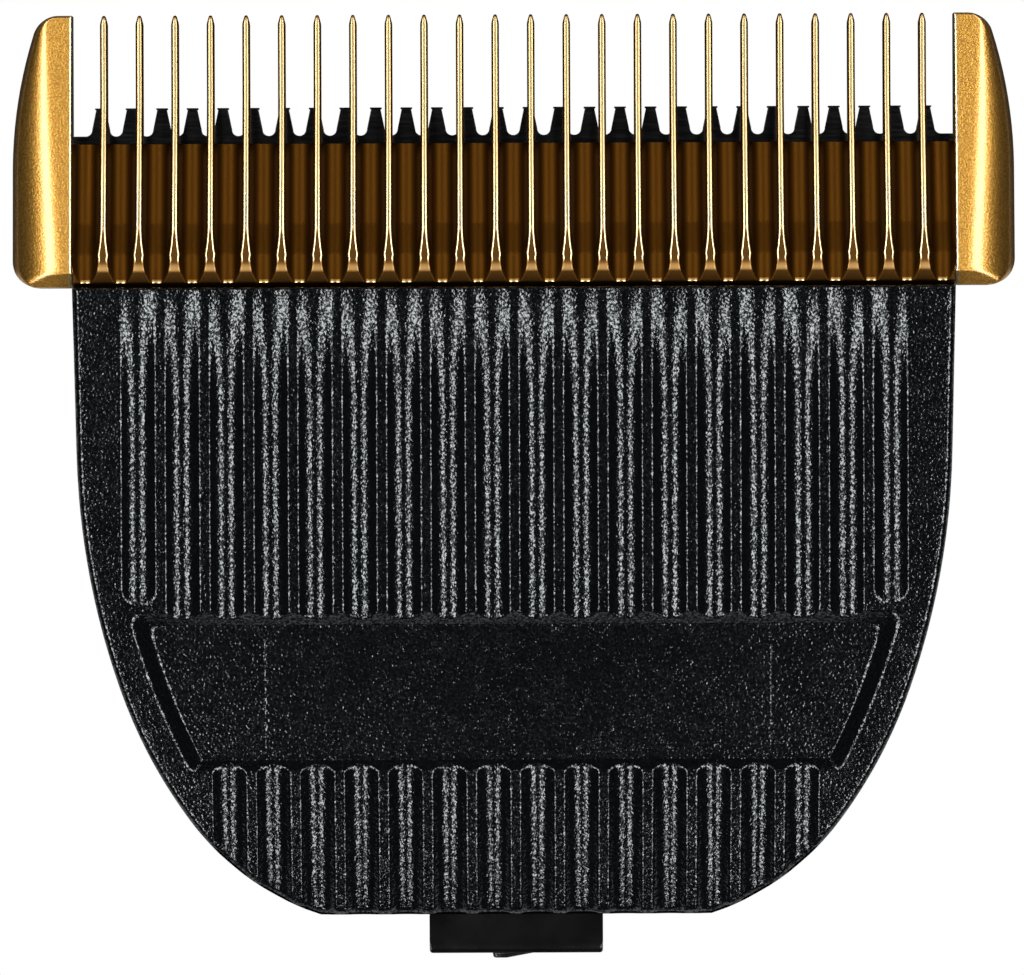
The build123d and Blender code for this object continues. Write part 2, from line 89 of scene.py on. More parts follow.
def addNoise(material, scale, detail=2.0, stretch=(1, 1, 1)):
    place = addNode(material, "ShaderNodeTexCoord")
    mapping = addNode(material, "ShaderNodeMapping", {"Scale": stretch})
    noise = addNode(material, "ShaderNodeTexNoise", {"Scale": scale, "Detail": detail})
    link(material, place, "Object", mapping, "Vector")
    link(material, mapping, "Vector", noise, "Vector")
    return noise


def addGrain(material, noise, strength, depth):
    bump = addNode(material, "ShaderNodeBump", {"Strength": strength, "Distance": depth * mm})
    link(material, noise, "Fac", bump, "Height")
    link(material, bump, "Normal", shaderOf(material), "Normal")


def addRamp(material, source, stops, target, socket):
    # stops are (position, colour)
    ramp = addNode(material, "ShaderNodeValToRGB")
    elements = ramp.color_ramp.elements
    for element, (position, color) in zip((elements[0], elements[1]), (stops[0], stops[-1])):
        element.position = position
        element.color = (*color, 1)
    for position, color in stops[1:-1]:
        elements.new(position).color = (*color, 1)
    link(material, source, "Fac", ramp, "Fac")
    link(material, ramp, "Color", target, socket)


def addLevels(material, source, low, high, socket):
    # grey ramp between two (position, level) on a socket of the shader
    stops = [(position, (level,) * 3) for position, level in (low, high)]
    addRamp(material, source, stops, shaderOf(material), socket)


# black moulding with a spark-eroded grain that breaks the highlights up, and pits that reflect little
plastic = newMaterial("grainedPlastic", (0.0014, 0.0017, 0.0021), 0, 0.15)
shaderOf(plastic).inputs["Specular Tint"].default_value = (0.93, 0.985, 1, 1)
addGrain(plastic, addNoise(plastic, 8000, 1.2), 1.0, 0.022)
addLevels(plastic, addNoise(plastic, 900, 3), (0.3, 0.11), (0.75, 0.16), "Roughness")
addLevels(plastic, addNoise(plastic, 8200, 1.0), (0.42, 0.08), (0.6, 1.0), "Specular IOR Level")

# plain dark moulding behind the face
innerPlastic = newMaterial("innerPlastic", (0.0018, 0.0018, 0.0021), 0, 0.2)
addGrain(innerPlastic, addNoise(innerPlastic, 5200), 0.25, 0.03)
addLevels(innerPlastic, addNoise(innerPlastic, 500, 3), (0.3, 0.16), (0.7, 0.23), "Roughness")

# gold-coloured hard coating, blasted on the guards; along their ground edges it is smoother and painted paler
# and brighter, a painted highlight
gold = newMaterial("blastedGold", (0.78, 0.43, 0.11), 1, 0.35)
satin = addNoise(gold, 11000)
addGrain(gold, satin, 1.0, 0.012)
groundEdgeHighlight = addNode(gold, "ShaderNodeAttribute", attribute_name="edge")
# the mix's second colour, paler and brighter, is a painted highlight along the ground edges
tone = addNode(gold, "ShaderNodeMix", {"B": (0.95, 0.76, 0.4, 1)}, data_type="RGBA")
addRamp(gold, satin, ((0.35, (0.38, 0.178, 0.021)), (0.65, (0.62, 0.325, 0.052))), tone, "A")
link(gold, groundEdgeHighlight, "Fac", tone, "Factor")
link(gold, tone, "Result", shaderOf(gold), "Base Color")
addLevels(gold, groundEdgeHighlight, (0.0, 0.34), (1.0, 0.2), "Roughness")
for socket, value in (("Coat Weight", 1.0), ("Coat Roughness", 0.2), ("Coat IOR", 1.7)):
    shaderOf(gold).inputs[socket].default_value = value

# the same coating on the ground fins, with painted highlights on the crests and painted shade in the grooves
finGold = newMaterial("groundGoldPaintedLight", (0.85, 0.6, 0.28), 1, 0.2)
paintedCrestLight = addNode(finGold, "ShaderNodeAttribute", attribute_name="crest")
# near black is painted shade in the grooves, pale gold is a painted highlight on the crests
paintedShadeAndHighlightTones = ((0.0, (0.048, 0.018, 0.0021)), (0.5, (0.36, 0.2, 0.066)), (1.0, (0.72, 0.6, 0.32)))
addRamp(finGold, paintedCrestLight, paintedShadeAndHighlightTones, shaderOf(finGold), "Base Color")
addLevels(finGold, paintedCrestLight, (0.45, 0.46), (1.0, 0.22), "Roughness")
addGrain(finGold, addNoise(finGold, 9000, 2, (1, 0.04, 1)), 1.0, 0.0005)

# black coating on ground steel, with grinding marks along the stroke
blackSteel = newMaterial("blackSteel", (0.0012, 0.0012, 0.0014), 0, 0.2)
marks = addNoise(blackSteel, 3000, 3, (0.25, 3, 1))
addGrain(blackSteel, marks, 0.3, 0.01)
addLevels(blackSteel, marks, (0.35, 0.14), (0.7, 0.22), "Roughness")

# bright steel of springs, pin and screws
steel = newMaterial("brightSteel", (0.62, 0.62, 0.64), 1, 0.28)
drawn = addNoise(steel, 4000, 3, (1, 0.3, 1))
addGrain(steel, drawn, 0.2, 0.01)
addLevels(steel, drawn, (0.3, 0.22), (0.7, 0.36), "Roughness")
print("materials made")


def addPiece(name, bm, body, material, replaced=None, sharp=32, outward=True):
    bmesh.ops.remove_doubles(bm, verts=bm.verts, dist=mergeGap)
    if outward:
        bmesh.ops.recalc_face_normals(bm, faces=bm.faces)
    for v in bm.verts:
        v.co = Vector((v.co.x, v.co.y + seamY, v.co.z)) * mm
    mesh = bpy.data.meshes.new(name)
    bm.to_mesh(mesh)
    bm.free()
    mesh.shade_smooth()
    mesh.set_sharp_from_angle(angle=radians(sharp))
    mesh.materials.append(material)
    piece = bpy.data.objects.new(name, mesh)
    bpy.context.scene.collection.objects.link(piece)
    if body:
        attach(piece, body)
    if replaced:
        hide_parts(replaced)
    print("piece", name, len(mesh.polygons), "faces")
    return piece


def meshPoints(piece):
    points = np.empty(len(piece.data.vertices) * 3)
    piece.data.vertices.foreach_get("co", points)
    return points.reshape(-1, 3) / mm - (0, seamY, 0)


def meshNormals(piece):
    normals = np.empty(len(piece.data.vertices) * 3)
    piece.data.vertex_normals.foreach_get("vector", normals)
    return normals.reshape(-1, 3)


def setAttribute(piece, name, values):
    piece.data.attributes.new(name, "FLOAT", "POINT").data.foreach_set("value", values)


def addGrid(bm, rows):
    # quads between rows of points; points that fall together are merged later
    made = [[bm.verts.new(p) for p in row] for row in rows]
    for upperRow, lowerRow in zip(made, made[1:]):
        for i in range(len(upperRow) - 1):
            bm.faces.new((upperRow[i], upperRow[i + 1], lowerRow[i + 1], lowerRow[i]))
    return made


def solidCopy(node):
    # mesh of a CAD node in the millimetres used here
    bm = bmesh.new()
    bm.from_mesh(nodes[node].data)
    for v in bm.verts:
        v.co = Vector((v.co.x / mm, v.co.y / mm - seamY, v.co.z / mm))
    bmesh.ops.remove_doubles(bm, verts=bm.verts, dist=mergeGap / 2)
    return bm


def roundEdges(bm, edges, width, segments):
    bmesh.ops.bevel(bm, geom=edges, offset=width, segments=segments, profile=0.5, affect="EDGES", material=-1)


def finishNode(node, material, bevel):
    piece = nodes[node]
    piece.data.materials.clear()
    piece.data.materials.append(material)
    piece.data.shade_smooth()
    piece.modifiers.new("weld", "WELD").merge_threshold = 1e-7
    flat = piece.modifiers.new("flat", "DECIMATE")
    flat.decimate_type = "DISSOLVE"
    flat.angle_limit = flatAngle
    edge = piece.modifiers.new("edge", "BEVEL")
    edge.width = bevel * mm
    edge.segments = 2
    edge.limit_method = "ANGLE"
    edge.angle_limit = radians(32)
    edge.harden_normals = True
    piece.modifiers.new("normals", "WEIGHTED_NORMAL").keep_sharp = True


def smoothMin(a, b, k):
    share = np.clip(0.5 + 0.5 * (b - a) / k, 0, 1)
    return b + (a - b) * share - k * share * (1 - share)


def stepped(table, y):
    # value at y from a table of (y, value)
    return np.interp(y, *np.array(table).T)


def spread(*runs):
    # each run is (from, to, count), without its last point
    return [float(v) for a, b, n in runs for v in np.linspace(a, b, n, endpoint=False)]


# ribbed face of the housing, with its rounded rim and outer wall
housing = {
    "half": 19.967, "taper": 1.37, "side": 7.51, "bends": ((35.8, 17.7), (22.8, 16.8), (12.0, 35.2)),
    "face": 12.0, "flat": 9.5, "radius": 40.0, "rim": 0.3, "seamRim": 1.8, "edge": 0.06, "skin": 0.004,
    "flutes": 9, "lowFlutes": 7, "flutePitch": 2.0, "fluteWidth": 1.46, "fluteDepth": 0.31,
    "fade": 5.0, "faded": 0.06, "roundEnd": 14.36, "landSlope": 0.23, "landEdge": 0.075, "landBlend": 0.006,
    "bandTop": 14.68, "bandFoot": 21.96, "bandDepth": 0.62, "bandTopX": 17.427, "bandFootX": 14.677,
    "bandBow": 0.25, "bandSlope": 0.94, "bandCorner": 0.7, "bandToe": 0.2,
    "insertX": (11.36, 11.6), "insertY": (-20.7, -15.65), "insertHalf": 0.04, "insertDepth": 0.006,
    "wallFoot": 0.03, "lipFoot": 9.45, "faceDepth": 0.85, "hookEdge": 0.14,
}


def outlinePoints(step):
    # right half of the plan, from the seam to the foot
    h = housing
    heading = radians(-90 - h["taper"])
    points = [(h["half"] - d * tan(radians(h["taper"])), -d) for d in np.arange(0, h["side"], step)]
    x, y = h["half"] - h["side"] * tan(radians(h["taper"])), -h["side"]
    for radius, turn in h["bends"]:
        cx, cy = x + radius * sin(heading), y - radius * cos(heading)
        for a in np.linspace(0, radians(turn), int(radius * radians(turn) / step) + 2)[:-1]:
            points.append((cx - radius * sin(heading - a), cy + radius * cos(heading - a)))
        heading -= radians(turn)
        x, y = cx - radius * sin(heading), cy + radius * cos(heading)
    points.append((x, y))
    return np.array(points)


outline = outlinePoints(0.1)
footY = outline[-1][1]


def faceLevel(y):
    h = housing
    drop = np.sqrt(h["radius"] ** 2 - np.clip(-y - h["flat"], 0, None) ** 2)
    return h["face"] - h["radius"] + drop


def alongFace(y):
    h = housing
    past = np.clip(-y - h["flat"], 0, None)
    return np.minimum(-y, h["flat"]) + h["radius"] * np.arcsin(past / h["radius"])


def bandSide(y):
    h = housing
    t = np.clip((-y - h["bandTop"]) / (h["bandFoot"] - h["bandTop"]), 0, 1)
    return h["bandTopX"] + (h["bandFootX"] - h["bandTopX"]) * t + h["bandBow"] * 4 * t * (1 - t)


def rimDistance(x, y):
    # distance to the plan's edge, where the rounding at the seam is the tighter one
    ring = np.vstack([outline, [(0, footY)]])
    best = -housing["seamRim"] * y
    for (ax, ay), (dx, dy) in zip(ring[:-1], ring[1:] - ring[:-1]):
        t = np.clip(((x - ax) * dx + (y - ay) * dy) / (dx * dx + dy * dy), 0, 1)
        best = np.minimum(best, np.hypot(x - ax - t * dx, y - ay - t * dy))
    return np.maximum(best, 0)


def fluteLevel(x, y, s):
    # round-bottomed flutes that fade towards the seam, with softly sloped lands between them
    h = housing
    pitch, width = h["flutePitch"], h["fluteWidth"]
    grown = np.clip((h["rim"] - y) / (h["fade"] + h["rim"]), 0, 1)
    depth = h["faded"] + (h["fluteDepth"] - h["faded"]) * grown
    radius = (width ** 2 / 4 + depth ** 2) / (2 * depth)
    u = x - (np.floor(x / pitch) + 0.5) * pitch
    # the outermost flute has a round end
    past = s - alongFace(np.array(width / 2 - h["roundEnd"]))
    u = np.where((x > (h["flutes"] - 1) * pitch) & (past > 0), np.hypot(u, past), u)
    ball = (radius - depth) - np.sqrt(np.clip(radius ** 2 - u ** 2, 1e-6, None))
    low = -y > (h["bandTop"] + h["bandFoot"]) / 2
    none = (x > h["flutes"] * pitch) | ((x > h["lowFlutes"] * pitch) & low)
    land = h["landSlope"] * (np.abs(u) - width / 2 - h["landEdge"]) * (depth - h["faded"]) / h["fluteDepth"]
    land = smoothMin(np.zeros_like(x), np.where(none, 1.0, land), h["landBlend"])
    return smoothMin(land, np.where(none, 1.0, ball), h["edge"])


def bandLevel(x, y, s):
    # sunk band across the face
    h = housing
    top, foot = alongFace(np.array(-h["bandTop"])), alongFace(np.array(-h["bandFoot"]))
    inside = smoothMin(s - top, (bandSide(y) - x) * h["bandSlope"], h["bandCorner"])
    inside = smoothMin(inside, foot - s, h["bandToe"])
    return -smoothMin(inside, np.full_like(x, h["bandDepth"]), h["edge"])


def faceHeight(x, y, insertX):
    h = housing
    s = alongFace(y)
    total = smoothMin(fluteLevel(x, y, s), bandLevel(x, y, s), h["edge"])
    # witness line of a mould insert
    line = np.clip(1 - np.abs(x - insertX) / h["insertHalf"], 0, 1)
    total = total - h["insertDepth"] * line * (y > h["insertY"][0]) * (y < h["insertY"][1])
    slant = np.sqrt(1 - (np.clip(-y - h["flat"], 0, None) / h["radius"]) ** 2)
    r = h["rim"]
    d = np.clip(rimDistance(x, y), 0, r)
    return faceLevel(y) + total / slant - (r - np.sqrt(np.clip(r * r - (r - d) ** 2, 0, None)))


def faceColumns():
    # close together at the flutes' edges, then over the plain sides
    h = housing
    across = [-0.92, -0.87, -0.83, -0.8, -0.77, -0.73, -0.68, -0.6, -0.48, -0.32, -0.16]
    across = across + [0] + [-v for v in reversed(across)] + [h["flutePitch"] / 2]
    columns = [0.0] + [h["flutePitch"] * (k + 0.5) + v for k in range(h["flutes"]) for v in across]
    return np.array(columns + [18.3, 18.6, 19.0, 19.4, 19.7])


def faceRows():
    # close together at the rim, the band's edges and the flutes' round ends
    rim = [0, 0.01, 0.035, 0.08, 0.14, 0.21, 0.3]
    downs = rim + [0.5] + spread((1, 5, 7), (5, 9.5, 4), (9.5, 13, 5))
    downs += spread((13, 13.6, 3), (13.6, 14.62, 14), (14.62, 15.4, 16), (15.4, 16, 3), (16, 21, 7))
    downs += spread((21, 22.1, 20), (22.1, 24, 5), (24, 26, 6), (26, 28.2, 20))
    return downs + [-footY - v for v in reversed(rim)]


def housingFace():
    h = housing
    columns, downs = faceColumns(), faceRows()
    reach = np.interp(downs, -outline[:, 1], outline[:, 0])
    steep = np.abs(np.gradient(outline[:, 0], -outline[:, 1]))
    lean = np.interp(downs, -outline[:, 1], np.minimum(steep, 4))
    inner = reach - h["rim"] * np.sqrt(1 + lean ** 2)
    innerTop = float(np.interp(h["bandTop"], downs, inner))
    rimShare = np.array([0.12, 0.28, 0.45, 0.62, 0.77, 0.89, 0.97, 1.0])
    insertShare = np.array([-1, -0.5, 0, 0.5, 1])
    # beside the band, columns past this one lean with its side wall, from the wall's foot to its brow
    hold, wallFoot, wallBrow = h["lowFlutes"] * h["flutePitch"] - 0.02, 0.66, 0.05
    known = [hold, h["bandTopX"] - wallFoot, h["bandTopX"] + wallBrow, innerTop, 30]
    halves = []
    for insertX in h["insertX"]:
        fixed = np.sort(np.concatenate([columns, insertX + h["insertHalf"] * insertShare]))
        half = []
        for d, w, limit in zip(downs, reach, inner):
            x = fixed.copy()
            if d > h["bandTop"]:
                side = float(bandSide(np.array(-d)))
                moved = [hold, side - wallFoot, side + wallBrow, max(limit, side + 2 * wallBrow), 40]
                x = np.where(x > hold, np.interp(x, known, moved), x)
            x = np.concatenate([np.minimum(x, limit), limit + (w - limit) * rimShare])
            y = np.full_like(x, -d)
            z = faceHeight(x, y, insertX)
            # a hair outside the walls that the back piece keeps
            x = x + h["skin"] * (x > limit)
            y = y + h["skin"] * (d == 0) - h["skin"] * (d >= -footY)
            half.append(np.stack([x, y, z], 1))
        halves.append(half)
    rows = [np.vstack([left[:0:-1] * (-1, 1, 1), right]) for left, right in zip(*halves)]
    bm = bmesh.new()
    made = addGrid(bm, rows)
    edge = [row[0] for row in made] + made[-1][1:-1] + [row[-1] for row in reversed(made)]
    low = [bm.verts.new((v.co.x, v.co.y, h["wallFoot"])) for v in edge]
    for i in range(len(edge) - 1):
        bm.faces.new((edge[i], edge[i + 1], low[i + 1], low[i]))
    # seam side, down to the comb's tail
    lip = [bm.verts.new((v.co.x, v.co.y, h["lipFoot"])) for v in made[0]]
    for i in range(len(lip) - 1):
        bm.faces.new((lip[i], lip[i + 1], made[0][i + 1], made[0][i]))
    addPiece("housing_face", bm, "housing", plastic, "housing", 40, outward=False)


def housingBack():
    # the moulding's walls and seats as they are in the solid, without its face
    h = housing
    bm = solidCopy("housing")
    top = []
    for f in bm.faces:
        c = f.calc_center_median()
        if c.y < 0.01 and f.normal.z > 0.02 and c.z > float(faceLevel(np.array(c.y))) - h["faceDepth"]:
            top.append(f)
    bmesh.ops.delete(bm, geom=top, context="FACES")
    bmesh.ops.dissolve_limit(bm, angle_limit=flatAngle, verts=bm.verts, edges=bm.edges)
    # corners of the hook's tongue, past the foot
    corners = [e for e in bm.edges if max(v.co.y for v in e.verts) < footY - 0.1
               and len(e.link_faces) == 2 and e.calc_face_angle() > radians(60)]
    roundEdges(bm, corners, h["hookEdge"], 3)
    piece = addPiece("housing_back", bm, "housing", innerPlastic, sharp=30, outward=False)
    piece.modifiers.new("normals", "WEIGHTED_NORMAL").keep_sharp = True


housingFace()
housingBack()

# gold comb, heights above the plane that the blades slide on
comb = {
    "contact": 8.5, "fins": 24, "pitch": 1.618, "finWidth": 0.345, "reach": combReach, "draft": 1.5,
    "crest": ((0.05, 1.9), (0.22, 2.24), (0.8, 2.43), (1.3, 2.5),
              (8.6, 0.7), (12.05, 0.7), (12.36, 0.6), (12.45, 0.5)),
    "floor": ((0.05, 1.86), (0.22, 2.16), (1.5, 2.16), (2.95, 1.45), (6.58, 0.6)), "shallow": 0.004,
    "foot": 0.05, "floorEnd": 6.58, "nose": 0.4, "noseTaper": 0.11,
    "blunt": 0.08, "bluntWidth": 0.35, "bluntHeight": 0.6,
    "round": 0.2, "roundTurn": 26, "finEdge": 0.11, "guardEdge": 0.075, "guardRoom": 0.16, "ground": 0.1,
    "guardInner": 20.007, "guardOuter": 22.737, "guardReach": 12.4, "guardFoot": 2.8, "guardTip": 1.5,
    "bowStart": 5.35, "bow": 20.5, "flatFoot": 0.36, "flatTip": 1.16, "crownTurn": 45, "crownEdge": 0.3,
    "crownRoll": 0.75, "crownLeast": 0.4, "sideLeast": 0.3, "tipRound": 0.16,
    "cornerFoot": 1.2, "cornerTip": 0.8, "bevel": 2.19, "bevelRise": 0.813, "bevelBlend": 0.06,
}


def crowned(x, z, angle, room, edge):
    # polished edge: a tight turn at the wall, then a wide one on to the level top
    c = comb
    soft = min(radians(c["roundTurn"]), angle)
    shrink = min(1.0, room / (c["round"] * sin(soft) + edge * (1 - sin(soft))))
    wide, tight = c["round"] * shrink, edge * shrink
    points = [(tight * (sin(angle) - sin(a)), tight * (cos(a) - cos(angle)))
              for a in np.linspace(angle, soft, 5)[:-1]]
    dx, dz = tight * (sin(angle) - sin(soft)), tight * (cos(soft) - cos(angle))
    points += [(dx + wide * (sin(soft) - sin(a)), dz + wide * (cos(a) - cos(soft)))
               for a in np.linspace(soft, 0, 7)]
    top = points[-1][1]
    return [(x + px, z - top + pz) for px, pz in points]


def grooveHalf(y):
    # from the middle of a groove to the middle of a fin, as (x, z)
    c = comb
    radius = (c["pitch"] - c["finWidth"]) / 2
    crest = stepped(c["crest"], y)
    depth = max(crest - stepped(c["floor"], y), c["shallow"])
    floor = crest - depth
    steep = radians(90 - c["draft"])
    full = radius * (1 - cos(steep))
    if depth > full + 0.1:
        turn = steep
        corner = radius * sin(steep) + (depth - full) * tan(radians(c["draft"]))
    else:
        turn = min(acos(max(1 - depth / radius, -1)), steep)
        corner = radius * sin(turn)
    room = min(c["pitch"] / 2 - corner - 0.01, depth * 0.5)
    edge = crowned(corner, crest, turn, room, c["finEdge"])
    count = 12
    points = [(radius * sin(a), floor + radius * (1 - cos(a))) for a in np.linspace(0, turn, count + 1)]
    points = [p for p in points[:-1] if p[0] < edge[0][0] and p[1] < edge[0][1]]
    # every section has as many points, for the grid
    points += points[-1:] * (count - len(points))
    return points + edge + [(c["pitch"] / 2, crest)]


def combBlock(bm):
    # close rows where the bevel, the shoulder and the grooves' ramps turn
    c = comb
    ys = [c["foot"], 0.14, 0.2, 0.24, 0.3, 0.4, 0.5, 0.6, 0.7, 0.76, 0.8, 0.84, 0.9, 1.0, 1.1, 1.2]
    ys += [1.27, 1.33, 1.4, 1.46, 1.54, 1.65, 1.8, 1.95, 2.1, 2.25, 2.4, 2.55, 2.7, 2.82, 2.92, 2.98]
    ys += [3.1, 3.6, 4.4, 5.2, 6, c["floorEnd"]]
    limit = c["guardInner"]
    rows = []
    for y in ys:
        half = np.array(grooveHalf(y))
        pair = np.vstack([half[::-1] * (-1, 1), half[1:]])
        row = []
        for i in range(c["fins"] + 1):
            middle = (i - c["fins"] / 2) * c["pitch"]
            row += [(min(max(middle + x, -limit), limit), y, c["contact"] + z) for x, z in pair]
        rows.append(row)
    made = addGrid(bm, rows)
    width = len(made[-1]) // (c["fins"] + 1)
    # end of the grooves, above the open slots
    for i in range(c["fins"] + 1):
        run = made[-1][i * width:(i + 1) * width]
        base = [bm.verts.new((v.co.x, v.co.y, c["contact"])) for v in run]
        for k in range(width - 1):
            bm.faces.new((run[k], run[k + 1], base[k + 1], base[k]))
    # seam end and underside
    base = [bm.verts.new((v.co.x, v.co.y, c["contact"])) for v in made[0]]
    for k in range(len(base) - 1):
        bm.faces.new((made[0][k + 1], made[0][k], base[k], base[k + 1]))
    plate = [(-limit, c["foot"]), (limit, c["foot"]), (limit, c["floorEnd"]), (-limit, c["floorEnd"])]
    bm.faces.new([bm.verts.new((px, py, c["contact"])) for px, py in plate])


def combFins(bm):
    # free ends of the fins, past the grooves
    c = comb
    nose = c["reach"] - c["nose"]
    ys = [c["floorEnd"] - 0.05, 7.2, 8, 8.5, 8.7, 10, 11.4, nose - 0.05, nose + 0.05]
    ys += [c["reach"] - v for v in (0.25, 0.15, c["blunt"], 0.03, 0)]
    for i in range(c["fins"]):
        middle = (i - (c["fins"] - 1) / 2) * c["pitch"]
        rows = []
        for y in ys:
            half = c["finWidth"] / 2 - c["noseTaper"] * max(0.0, (y - nose) / c["nose"])
            blunt = sqrt(max(0.0, 1 - max(0.0, (y - c["reach"] + c["blunt"]) / c["blunt"]) ** 2))
            half *= c["bluntWidth"] + (1 - c["bluntWidth"]) * blunt
            crest = stepped(c["crest"], y) * (c["bluntHeight"] + (1 - c["bluntHeight"]) * blunt)
            left = [(-half, 0.0), (-half, crest * 0.5)]
            left += crowned(-half, crest, pi / 2, half * 0.9, c["finEdge"])
            ring = left + [(-x, z) for x, z in reversed(left)]
            rows.append([(middle + x, y, c["contact"] + z) for x, z in ring + ring[:1]])
        made = addGrid(bm, rows)
        bm.faces.new(made[-1][:-1])
        bm.faces.new(made[0][-2::-1])


def cutBack(radius, distance):
    # how far a rounded corner of this radius has drawn in, at this distance from its end
    return radius - sqrt(max(0.0, radius ** 2 - max(0.0, radius - distance) ** 2))


def guardRing(y):
    # section of the right guard
    c = comb
    share = y / c["guardReach"]
    height = c["guardFoot"] + (c["guardTip"] - c["guardFoot"]) * share
    flat = c["guardInner"] + c["flatFoot"] + (c["flatTip"] - c["flatFoot"]) * share
    outer = c["guardOuter"] - c["bow"] + sqrt(c["bow"] ** 2 - max(0.0, y - c["bowStart"]) ** 2)
    fromFoot, fromTip = max(y - c["foot"], 0.0), max(c["guardReach"] - y, 0.0)
    trim = outer - cutBack(c["cornerFoot"], fromFoot) - cutBack(c["cornerTip"], fromTip)
    roof = height - cutBack(c["tipRound"], fromTip)
    flat = min(flat, trim - c["sideLeast"])
    crown = max(outer - flat, c["crownLeast"]) / sin(radians(c["crownTurn"]))
    points = [(c["guardInner"], height * 0.5)]
    points += crowned(c["guardInner"], height, pi / 2, c["guardRoom"], c["guardEdge"])
    points += [(x, height) for x in np.linspace(c["guardInner"] + 0.2, flat, 4)]
    # closer together towards the crown's rolled edge
    parts = [0.06, 0.12, 0.19, 0.26, 0.34, 0.42, 0.5, 0.58, 0.66, 0.74, 0.8, 0.85, 0.9, 0.94, 0.97, 0.99, 1]
    for part in parts:
        x = flat + (trim - flat) * part
        roll = c["crownRoll"] * cutBack(c["crownEdge"], trim - x)
        points.append((x, height - crown + sqrt(crown ** 2 - (x - flat) ** 2) - roll))
    bevel = np.array(c["bevel"] + c["bevelRise"] * fromFoot)
    points = [(x, float(smoothMin(min(z, roof), bevel, c["bevelBlend"]))) for x, z in points]
    points = [(c["guardInner"], 0.0)] + points + [(trim, 0.0)]
    return [(x, y, c["contact"] + z) for x, z in points]


def guardPiece():
    c = comb
    bm = bmesh.new()
    ys = [c["foot"], 0.08, 0.12, 0.18, 0.25, 0.33, 0.42, 0.5, 0.56, 0.6, 0.64, 0.7, 0.8, 0.95, 1.1, 1.25]
    ys += spread((1.5, 4.3, 5), (4.3, 11.6, 12), (11.6, 12.1, 4))
    ys += [c["guardReach"] - v for v in (0.3, 0.22, 0.16, 0.11, 0.07, 0.04, 0.015, 0)]
    for side in (1, -1):
        made = addGrid(bm, [[(side * x, y, z) for x, y, z in guardRing(y)] for y in ys])
        for row in (made[0], made[-1]):
            bm.faces.new(row)
        for a, b in zip(made, made[1:]):
            bm.faces.new((a[0], a[-1], b[-1], b[0]))
    piece = addPiece("comb_guards", bm, "housing", gold, "stationary_blade", 38)
    # the inner sides are ground, which leaves a crisp edge; a band along it gets the smoother finish and a
    # painted highlight
    inward = np.abs(meshPoints(piece)[:, 0]) - c["guardInner"]
    setAttribute(piece, "edge", np.clip(1.5 - inward / c["ground"], 0, 1))


# how bright the coating is painted along the fins, from painted shade in the grooves at 0 to a painted
# highlight on a crest at 1; the tables are (y, value), depths are below the crest
paintedFinLight = {
    "highlightLineDepth": ((2.0, 0.015), (3.0, 0.012), (5.0, 0.012), (7.0, 0.0075)),
    "highlightLineFade": 0.009, "highlightLineStart": ((1.05, 0), (1.3, 1)),
    "middle": ((0.7, 0.04), (0.8, 0.5), (0.96, 0.52), (1.04, 0.24), (1.15, 0.04), (2.5, 0.04), (2.8, 1)),
    "levelDepth": (0.0008, 0.002), "shoulderEnd": 1.15, "shoulderDepth": 0.02,
    "wall": 0.3, "wallLean": (0.7, 0.93), "wallDepth": (0.05, 0.12), "wallStart": 1.2,
    "paintedSeamGlint": ((0.21, 0), (0.24, 1), (0.27, 1), (0.33, 0)), "paintedGlintTop": 2.19,
    "fade": ((2.6, 1), (6.0, 0.78), (combReach - 0.17, 0.78), (combReach - 0.1, 0)),
}


def paintFinLightAndShade(piece):
    s = paintedFinLight
    y, z = meshPoints(piece)[:, 1:].T
    z = z - comb["contact"]
    below = stepped(comb["crest"], y) - z
    # a painted highlight line along each edge of a crest with painted dark past it, and the crest's level
    # middle and the shoulder by the seam painted lighter or darker along the fin
    line = np.clip((stepped(s["highlightLineDepth"], y) + s["highlightLineFade"] - below) / s["highlightLineFade"], 0, 1)
    line = line * stepped(s["highlightLineStart"], y)
    middle = stepped(s["middle"], y)
    level = np.interp(below, s["levelDepth"], (1, 0))
    shoulder = middle * (y < s["shoulderEnd"]) * (below < s["shoulderDepth"])
    crest = np.where(level > 0, middle * level + line * (1 - level), np.maximum(line, shoulder))
    # upright walls painted less dark than the groove floors, and a painted glint where a groove runs out at
    # the seam
    lean = np.abs(meshNormals(piece)[:, 0])
    wall = s["wall"] * np.interp(lean, s["wallLean"], (0, 1)) * np.interp(below, s["wallDepth"], (0, 1))
    paintedSeamGlint = stepped(s["paintedSeamGlint"], y) * (z < s["paintedGlintTop"])
    # the painted crest light dims towards the tips and goes dark at the very tip, a painted dark outline
    return np.maximum.reduce([crest * stepped(s["fade"], y), wall * (y > s["wallStart"]), paintedSeamGlint])


def finPiece():
    bm = bmesh.new()
    combBlock(bm)
    combFins(bm)
    piece = addPiece("comb_fins", bm, "housing", finGold, sharp=38)
    # the crest attribute carries the painted highlights and painted shade of the fins
    setAttribute(piece, "crest", paintFinLightAndShade(piece))


def combTail():
    # the tail under the face plate, as it is in the solid
    bm = solidCopy("stationary_blade")
    cut = bm.verts[:] + bm.edges[:] + bm.faces[:]
    bmesh.ops.bisect_plane(bm, geom=cut, plane_co=(0, 0.04, 0), plane_no=(0, 1, 0), clear_outer=True)
    addPiece("comb_tail", bm, "housing", gold, sharp=30, outward=False)


guardPiece()
finPiece()
combTail()

finishNode("moving_blade", blackSteel, 0.03)
finishNode("blade_carrier", innerPlastic, 0.12)
finishNode("cleaning_lever", innerPlastic, 0.1)
finishNode("lever_pin", steel, 0.06)
for node in ("left_blade_screw", "right_blade_screw"):
    finishNode(node, steel, 0.05)
print("solids finished")

# torsion springs: a long leg on the blade, two turns and a short leg on its ledge
spring = {
    "wire": 0.35, "coil": 1.7, "turns": 2.05, "pitch": 0.8, "x": 7.8, "y": -12.2, "z": 5.2,
    "reach": 10.4, "press": -0.29, "past": 0.7, "short": 4.5, "held": (-13.9, -10.5),
    "steps": 48, "sides": 16, "endRound": 0.07,
}


